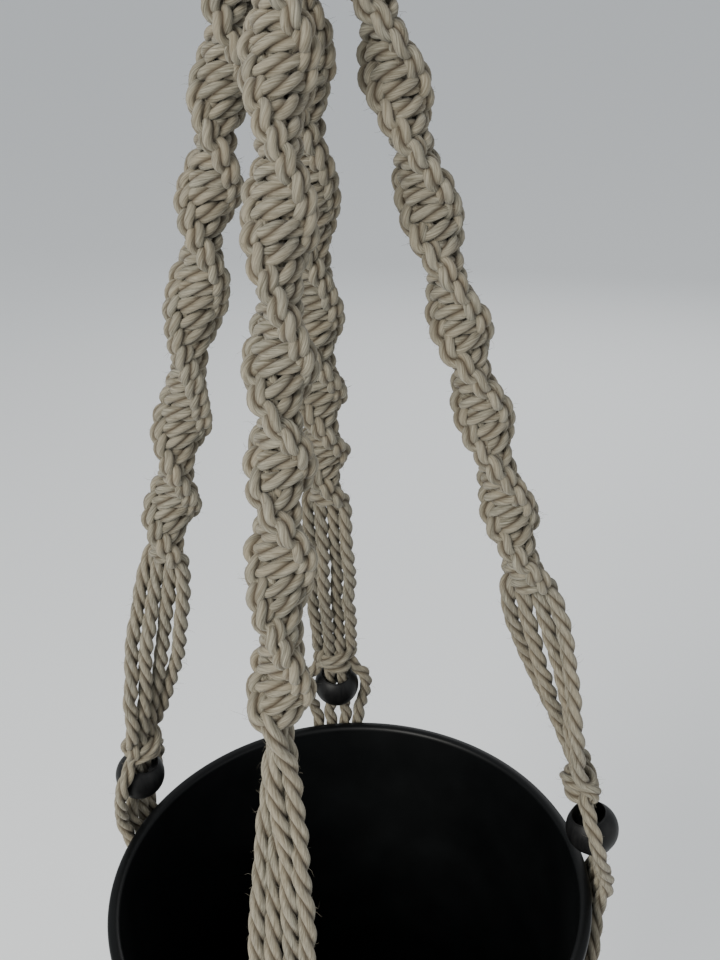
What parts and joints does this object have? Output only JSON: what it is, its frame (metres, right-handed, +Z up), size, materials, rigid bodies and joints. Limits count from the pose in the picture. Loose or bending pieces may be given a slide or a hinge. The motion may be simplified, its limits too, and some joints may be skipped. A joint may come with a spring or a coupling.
{
  "type": "hanging macrame planter",
  "caption": "Hanging planter: a tapered black pot carried by four spiral-knotted cotton arms with wooden beads, a cord net below and a ring above.",
  "frame": {"origin": "centre of the hanging ring, where a hook carries the planter", "axes": "+Z up, through the pot's axis; +X along the ring's flat, to the right arm; -Y towards the front arm"},
  "size_m": [0.1596, 0.1639, 0.7655],
  "materials": {
    "cotton_cord": "natural ecru three-ply cotton, matt and slightly fuzzy",
    "black_wood": "black-dyed wood, satin lacquer",
    "black_pot": "satin black, smooth"
  },
  "bodies": {
    "ring": {"hanging_ring": "black_wood"},
    "cordwork": {"head_cords": "cotton_cord", "head_bundle": "cotton_cord", "top_wrap": "cotton_cord", "spiral_front": "cotton_cord", "spiral_right": "cotton_cord", "spiral_back": "cotton_cord", "spiral_left": "cotton_cord", "strands_front": "cotton_cord", "strands_right": "cotton_cord", "strands_back": "cotton_cord", "strands_left": "cotton_cord", "square_knot_front": "cotton_cord", "square_knot_right": "cotton_cord", "square_knot_back": "cotton_cord", "square_knot_left": "cotton_cord", "drop_front_a": "cotton_cord", "drop_right_a": "cotton_cord", "drop_back_a": "cotton_cord", "drop_left_a": "cotton_cord", "drop_front_b": "cotton_cord", "drop_right_b": "cotton_cord", "drop_back_b": "cotton_cord", "drop_left_b": "cotton_cord", "net_knot_front_right": "cotton_cord", "net_knot_right_back": "cotton_cord", "net_knot_back_left": "cotton_cord", "net_knot_left_front": "cotton_cord", "base_cords_front_right": "cotton_cord", "base_cords_right_back": "cotton_cord", "base_cords_back_left": "cotton_cord", "base_cords_left_front": "cotton_cord", "foot_bundle": "cotton_cord", "bottom_wrap": "cotton_cord"},
    "pot": {"pot": "black_pot"},
    "bead_front": {"bead_front": "black_wood"},
    "bead_right": {"bead_right": "black_wood"},
    "bead_back": {"bead_back": "black_wood"},
    "bead_left": {"bead_left": "black_wood"},
    "tassel": {"tassel": "cotton_cord"}
  },
  "joints": [
    {"name": "hanger_swing", "type": "hinge", "parent": "ring", "child": "cordwork", "pos_m": [0, 0, -0.0305], "axis": [1, 0, 0], "range_deg": [-25, 25]},
    {"name": "pot_turn", "type": "hinge", "parent": "cordwork", "child": "pot", "pos_m": [0, 0, -0.378], "axis": [0, 0, 1], "continuous": true},
    {"name": "bead_front_turn", "type": "hinge", "parent": "cordwork", "child": "bead_front", "pos_m": [-0.01814, -0.07277, -0.3605], "axis": [-0.0591, -0.2372, -0.9697], "continuous": true},
    {"name": "bead_right_turn", "type": "hinge", "parent": "cordwork", "child": "bead_right", "pos_m": [0.07495, -0.00262, -0.3605], "axis": [0.2443, -0.0085, -0.9697], "continuous": true},
    {"name": "bead_back_turn", "type": "hinge", "parent": "cordwork", "child": "bead_back", "pos_m": [-0.00131, 0.07499, -0.3605], "axis": [-0.0043, 0.2444, -0.9697], "continuous": true},
    {"name": "bead_left_turn", "type": "hinge", "parent": "cordwork", "child": "bead_left", "pos_m": [-0.06741, 0.03288, -0.3605], "axis": [-0.2197, 0.1072, -0.9697], "continuous": true},
    {"name": "tassel_swing", "type": "hinge", "parent": "cordwork", "child": "tassel", "pos_m": [0, 0, -0.6005], "axis": [1, 0, 0], "range_deg": [-25, 25]}
  ]
}
